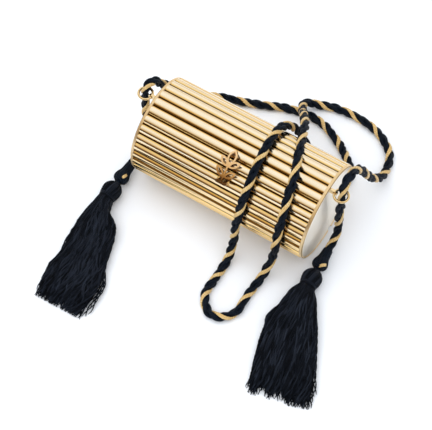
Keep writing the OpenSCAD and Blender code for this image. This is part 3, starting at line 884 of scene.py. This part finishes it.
def head(side, label):
    """Neck and wound head, with threads that run from the neck down under the binding."""
    foot = foot_frame(side)
    start, heading, across = foot
    neck = Builder("neck_cord_" + label)
    places = np.linspace(SLEEVE_LEN - NECK_LAP, SLEEVE_LEN + NECK_LEN + NECK_LAP, NECK_ROWS)
    radii = np.full(NECK_ROWS, NECK_R * UNDER_THREADS)
    revolve(neck, foot, places, radii, sides=30, ridges=5, depth=0.1, helix=1.1)
    neck_piece = neck.make([BLACK_SILK])
    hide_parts("tassel_neck_" + label)
    build = Builder("wound_head_" + label)
    top = SLEEVE_LEN + NECK_LEN
    shares = np.linspace(0, 1, HEAD_ROWS)
    radii = head_radius(shares) * UNDER_THREADS
    revolve(build, foot, top + shares * HEAD_LEN, radii, sides=64)
    rng = random.Random(HEAD_SEED + side)

    def on_head(share, angle, lift):
        r = (head_radius(share) + lift)[:, None]
        round_it = np.cos(angle)[:, None] * across + np.sin(angle)[:, None] * VERTICAL
        return start + heading * (top + share * HEAD_LEN)[:, None] + r * round_it

    share = np.linspace(*HEAD_THREAD_ENDS, HEAD_THREAD_STEPS)
    for k in range(HEAD_THREADS):
        angle = math.tau * (k + rng.uniform(*HEAD_UNEVEN)) / HEAD_THREADS
        angle = angle + (HEAD_LEAN + rng.uniform(*HEAD_LEAN_VARIES)) * share
        shade = rng.random() * TONES
        path = on_head(share, angle, rng.uniform(*HEAD_THREAD_LIFT))
        slot = int(rng.random() < HEAD_LIT)
        radius = rng.uniform(*HEAD_THREAD_R) * MM
        build.tube(path * MM, radius, THREAD_SIDES, slot, thread_u(shade))
    angle = np.linspace(0, math.tau, WRAP_STEPS)
    for k in range(HEAD_WRAPS):
        share = WRAP_START + WRAP_PITCH * k + WRAP_WOBBLE * np.sin(angle + k)
        shade = rng.random() * TONES
        path = on_head(share, angle, WRAP_LIFT + WRAP_BULGE * np.sin(3 * angle + 2 * k))
        # Every other wrap is in the lighter silk, a painted highlight
        build.tube(path * MM, WRAP_R * MM, THREAD_SIDES, k % 2, thread_u(shade))
    piece = build.make([THREADS, THREADS_LIT])
    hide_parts("tassel_head_" + label)
    return [neck_piece, piece]


class SkirtForm:
    """Where a skirt lies and how big it is at each share t of its length."""

    def __init__(self, side):
        start, self.heading, self.across = foot_frame(side)
        self.side = side
        self.top = start + self.heading * (SLEEVE_LEN + NECK_LEN + HEAD_LEN)
        steps, off_line = SKIRT_LINES[side]
        self.reach = steps[-1]
        self.shares = np.array(steps) / self.reach
        self.line = np.polyfit(steps, off_line, 4)
        self.slope = np.polyder(self.line)

    def axis(self, t):
        """The skirt's middle and its side direction."""
        at = np.asarray(t, float) * self.reach
        fade = np.clip(at / LINE_FADE, 0, 1)
        off = (np.polyval(self.line, at) * fade)[:, None]
        middle = self.top + SKIRT_LEN * (at[:, None] * self.heading + off * self.across)
        lean = np.arctan(np.polyval(self.slope, at) * fade)[:, None]
        return middle, self.across * np.cos(lean) - self.heading * np.sin(lean)

    def spread(self, t):
        return np.interp(t, self.shares, SKIRT_SHARES[self.side]) * SKIRT_W / 2

    def thick(self, t):
        return np.interp(t, self.shares, SKIRT_THICK[self.side]) * HEAD_R

    def clear_of_lid(self, points, extra=0.0):
        """Moves the points that the opening front half would meet out to beside its end plate."""
        beyond = np.maximum(-LID_REACH - points[..., 1], 0)
        bar = CASE_HALF + LID_ROOM + extra - LID_SLOPE * beyond
        points[..., 0] = self.side * np.maximum(self.side * points[..., 0], bar)


def skirt_core(build, form):
    """A dark core under the threads."""
    t = np.linspace(0, CORE_LEN, CORE_ROWS)
    angle = np.linspace(0, math.tau, CORE_COLS, endpoint=False)[None, :, None]
    middle, sideways = form.axis(t)
    middle[:, 2] = form.thick(t) * CORE_HEIGHT
    core = (
        middle[:, None]
        + (form.spread(t) * CORE_WIDTH)[:, None, None] * np.cos(angle) * sideways[:, None]
        + (form.thick(t) * CORE_THICK)[:, None, None] * np.sin(angle) * VERTICAL
    )
    core[:, :, 2] = np.maximum(core[:, :, 2], CORE_FLOOR)
    form.clear_of_lid(core)
    build.skin(core * MM, t * SKIRT_LEN, u_span=(0, CORE_U))


def skirt_yarn(build, form, rng, wild, u):
    """A yarn at one place across the skirt, of a few threads that turn round each other."""
    under = rng.random() < YARN_UNDER
    wave = [rng.uniform(0, math.tau) for _ in range(4)]
    stir = rng.uniform(*SWAY) * wild * (FREE_SWAY if rng.random() < FREE_YARNS else 1)
    drift = rng.gauss(0, DRIFT * wild)
    lift = rng.uniform(*LIFT)
    length = rng.gauss(YARN_LEN, YARN_LEN_SPREAD + YARN_LEN_WILD * wild)
    if rng.random() < SHORT_YARNS:
        length -= rng.uniform(*SHORTER_BY)
    turns = rng.uniform(*YARN_TURNS)
    bulge = SKIRT_BULGE[form.side]
    length += bulge * math.exp(-((u - BULGE_PLACE) / BULGE_WIDTH) ** 2)
    tone = rng.random() * TONES
    threads = rng.randint(*YARN_THREADS)
    for j in range(threads):
        end = min(length + rng.gauss(0, THREAD_LEN_SPREAD), LONGEST + bulge)
        t = np.linspace(0.0, end, YARN_STEPS)
        on_skirt = np.minimum(t, 1)
        grow = rise(t, 0, GROW)
        sway = grow * stir * sum(
            high * np.sin(t * waves + wave[k]) for k, (high, waves) in enumerate(SWAY_WAVES)
        )
        round_at = math.tau * (turns * t + j / threads) + wave[2]
        coil = (COIL + COIL_GROWTH * grow) * (1 + FRAY * rise(t, FRAY_FROM, FRAY_OVER))
        here = u + drift * np.maximum(t - DRIFT_FROM, 0) * DRIFT_GAIN
        lateral = here * form.spread(on_skirt) * (YARN_WIDTH + YARN_WIDTH_GROWTH * grow)
        lateral = lateral + sway + coil * np.cos(round_at)
        if under:
            height = form.thick(on_skirt) * (YARN_HEIGHT - DOME_UNDER * dome(here))
        else:
            height = form.thick(on_skirt) * (YARN_HEIGHT + DOME_UPPER * dome(here)) + lift * grow
        height = height + COIL_HEIGHT * coil * np.sin(round_at)
        height = height + grow * RIPPLE * np.sin(t * RIPPLE_WAVES + wave[3])
        path, sideways = form.axis(t)
        path = path + lateral[:, None] * sideways
        height = height * (1 - DROOP * rise(t, DROOP_FROM, DROOP_OVER))
        path[:, 2] = np.maximum(height, YARN_FLOOR)
        form.clear_of_lid(path, rng.uniform(*LID_MORE_ROOM))
        shade = tone + rng.uniform(*THREAD_SHADE)
        slot = int(rng.random() < LIT_THREADS)
        radii = np.full(YARN_STEPS, rng.uniform(*THREAD_R) * MM)
        radii[-1] *= TIP
        build.tube(path * MM, radii, THREAD_SIDES, slot, thread_u(shade))


def skirt_stray(build, form, rng, wild):
    """A single thread that lies slanted over the others."""
    begin = rng.uniform(*STRAY_PLACE)
    finish = min(max(begin + rng.gauss(0, STRAY_SHIFT * wild), -1.0), 1.0)
    wave = [rng.uniform(0, math.tau) for _ in range(3)]
    t = np.linspace(rng.uniform(*STRAY_START), min(rng.gauss(*STRAY_END), 1.0), STRAY_STEPS)
    share = np.clip((t - t[0]) / (t[-1] - t[0]), 0, 1)
    (wobble, wobbles), (sway, sways) = STRAY_SWAY
    here = begin + (finish - begin) * share ** STRAY_CURVE
    here = here + wobble * wild * np.sin(t * wobbles + wave[0])
    height = form.thick(t) * (STRAY_HEIGHT + STRAY_DOME * dome(here)) + STRAY_LIFT
    height = height + STRAY_RIPPLE * np.sin(t * STRAY_RIPPLE_WAVES + wave[1])
    path, sideways = form.axis(t)
    lateral = here * form.spread(t) * STRAY_WIDTH + sway * wild * np.sin(t * sways + wave[2])
    path = path + lateral[:, None] * sideways
    height = height * (1 - STRAY_DROOP * rise(share, STRAY_DROOP_FROM, STRAY_DROOP_OVER))
    path[:, 2] = np.maximum(height, STRAY_FLOOR)
    form.clear_of_lid(path, STRAY_ROOM)
    shade = rng.random() * TONES
    # Strays are all in the lighter silk, a painted highlight
    build.tube(path * MM, rng.uniform(*STRAY_R) * MM, THREAD_SIDES, 1, thread_u(shade))


def skirt(side, label):
    """Loose silk yarns from under the head, spread flat on the table, over a dark core."""
    rng = random.Random(SEED[side])
    form = SkirtForm(side)
    build = Builder("silk_skirt_" + label)
    skirt_core(build, form)
    for i in range(YARNS):
        u = -1 + 2 * (i + rng.random()) / YARNS
        skirt_yarn(build, form, rng, WILD[side], math.copysign(abs(u) ** YARN_SPACING, u))
    for _ in range(STRAYS[side]):
        skirt_stray(build, form, rng, WILD[side])
    piece = build.make([THREADS, THREADS_LIT])
    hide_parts("tassel_skirt_" + label)
    return piece


for side, label in ((LEFT, "left"), (RIGHT, "right")):
    parts = sleeve(side, label) + head(side, label) + [skirt(side, label)]
    for part in parts:
        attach(part, "back_half")

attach(cord_left, "back_half")
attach(cord_right, "back_half")
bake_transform(cord_front)


# Table and light

TABLE_HALF = 4.0
table_mesh = bpy.data.meshes.new("table")
table_corners = [
    (-TABLE_HALF, -TABLE_HALF, 0), (TABLE_HALF, -TABLE_HALF, 0),
    (TABLE_HALF, TABLE_HALF, 0), (-TABLE_HALF, TABLE_HALF, 0),
]
table_mesh.from_pydata(table_corners, [], [(0, 1, 2, 3)])
table_mesh.materials.append(table_material())
table = bpy.data.objects.new("table", table_mesh)
bpy.context.scene.collection.objects.link(table)

LAMP_PLACE = Vector((-0.2, -0.3, 1.6))
LAMP_AIM = Vector((0, 0, 0.02))
lamp_data = bpy.data.lights.new("top_soft_box", "AREA")
lamp_data.energy = 17
lamp_data.color = (0.99, 0.995, 1.0)
lamp_data.size = 2.2
lamp = bpy.data.objects.new("top_soft_box", lamp_data)
bpy.context.scene.collection.objects.link(lamp)
lamp.location = LAMP_PLACE
lamp.rotation_euler = (LAMP_AIM - LAMP_PLACE).to_track_quat("-Z", "Y").to_euler()
lamp.visible_glossy = False

# World: soft white light, white behind the scene for the camera, and for the gloss a room that is
# white above and behind the case and darker and warmer low in front of it
ROOM_BRIGHT_SIDE = (-0.05, 0.33, 0.94)
ROOM_TONES = (
    (0.0, (0.08, 0.04, 0.012)), (0.12, (0.24, 0.13, 0.045)), (0.26, (0.52, 0.36, 0.17)),
    (0.42, (0.82, 0.67, 0.44)), (0.66, (0.98, 0.94, 0.88)), (1.0, (1.1, 1.1, 1.1)),
)
world = bpy.data.worlds.new("studio")
bpy.context.scene.world = world
world.use_nodes = True
tree = world.node_tree
tree.nodes.clear()
ray = tree.nodes.new("ShaderNodeLightPath")


def background(color, strength):
    made = tree.nodes.new("ShaderNodeBackground")
    made.inputs["Color"].default_value = (*color, 1)
    made.inputs["Strength"].default_value = strength
    return made


def show(kind, shader, others):
    """One shader for the rays of a kind, and another for the others."""
    made = tree.nodes.new("ShaderNodeMixShader")
    tree.links.new(ray.outputs[kind], made.inputs["Fac"])
    tree.links.new(others.outputs[0], made.inputs[1])
    tree.links.new(shader.outputs[0], made.inputs[2])
    return made


def room_shader():
    direction = tree.nodes.new("ShaderNodeTexCoord")
    toward = tree.nodes.new("ShaderNodeVectorMath")
    toward.operation = "DOT_PRODUCT"
    toward.inputs[1].default_value = ROOM_BRIGHT_SIDE
    tones = tree.nodes.new("ShaderNodeValToRGB")
    fill_ramp(tones.color_ramp, ROOM_TONES)
    room = background((1, 1, 1), 1.0)
    tree.links.new(direction.outputs["Generated"], toward.inputs[0])
    tree.links.new(toward.outputs["Value"], tones.inputs["Fac"])
    tree.links.new(tones.outputs["Color"], room.inputs["Color"])
    return room


soft_light = background((0.965, 0.98, 1.0), 0.95)
lit = show("Is Glossy Ray", room_shader(), soft_light)
seen = show("Is Camera Ray", background((1, 1, 1), 1.0), lit)
world_output = tree.nodes.new("ShaderNodeOutputWorld")
tree.links.new(seen.outputs[0], world_output.inputs["Surface"])

bpy.context.scene.view_settings.view_transform = "Standard"
bpy.context.scene.view_settings.look = "None"
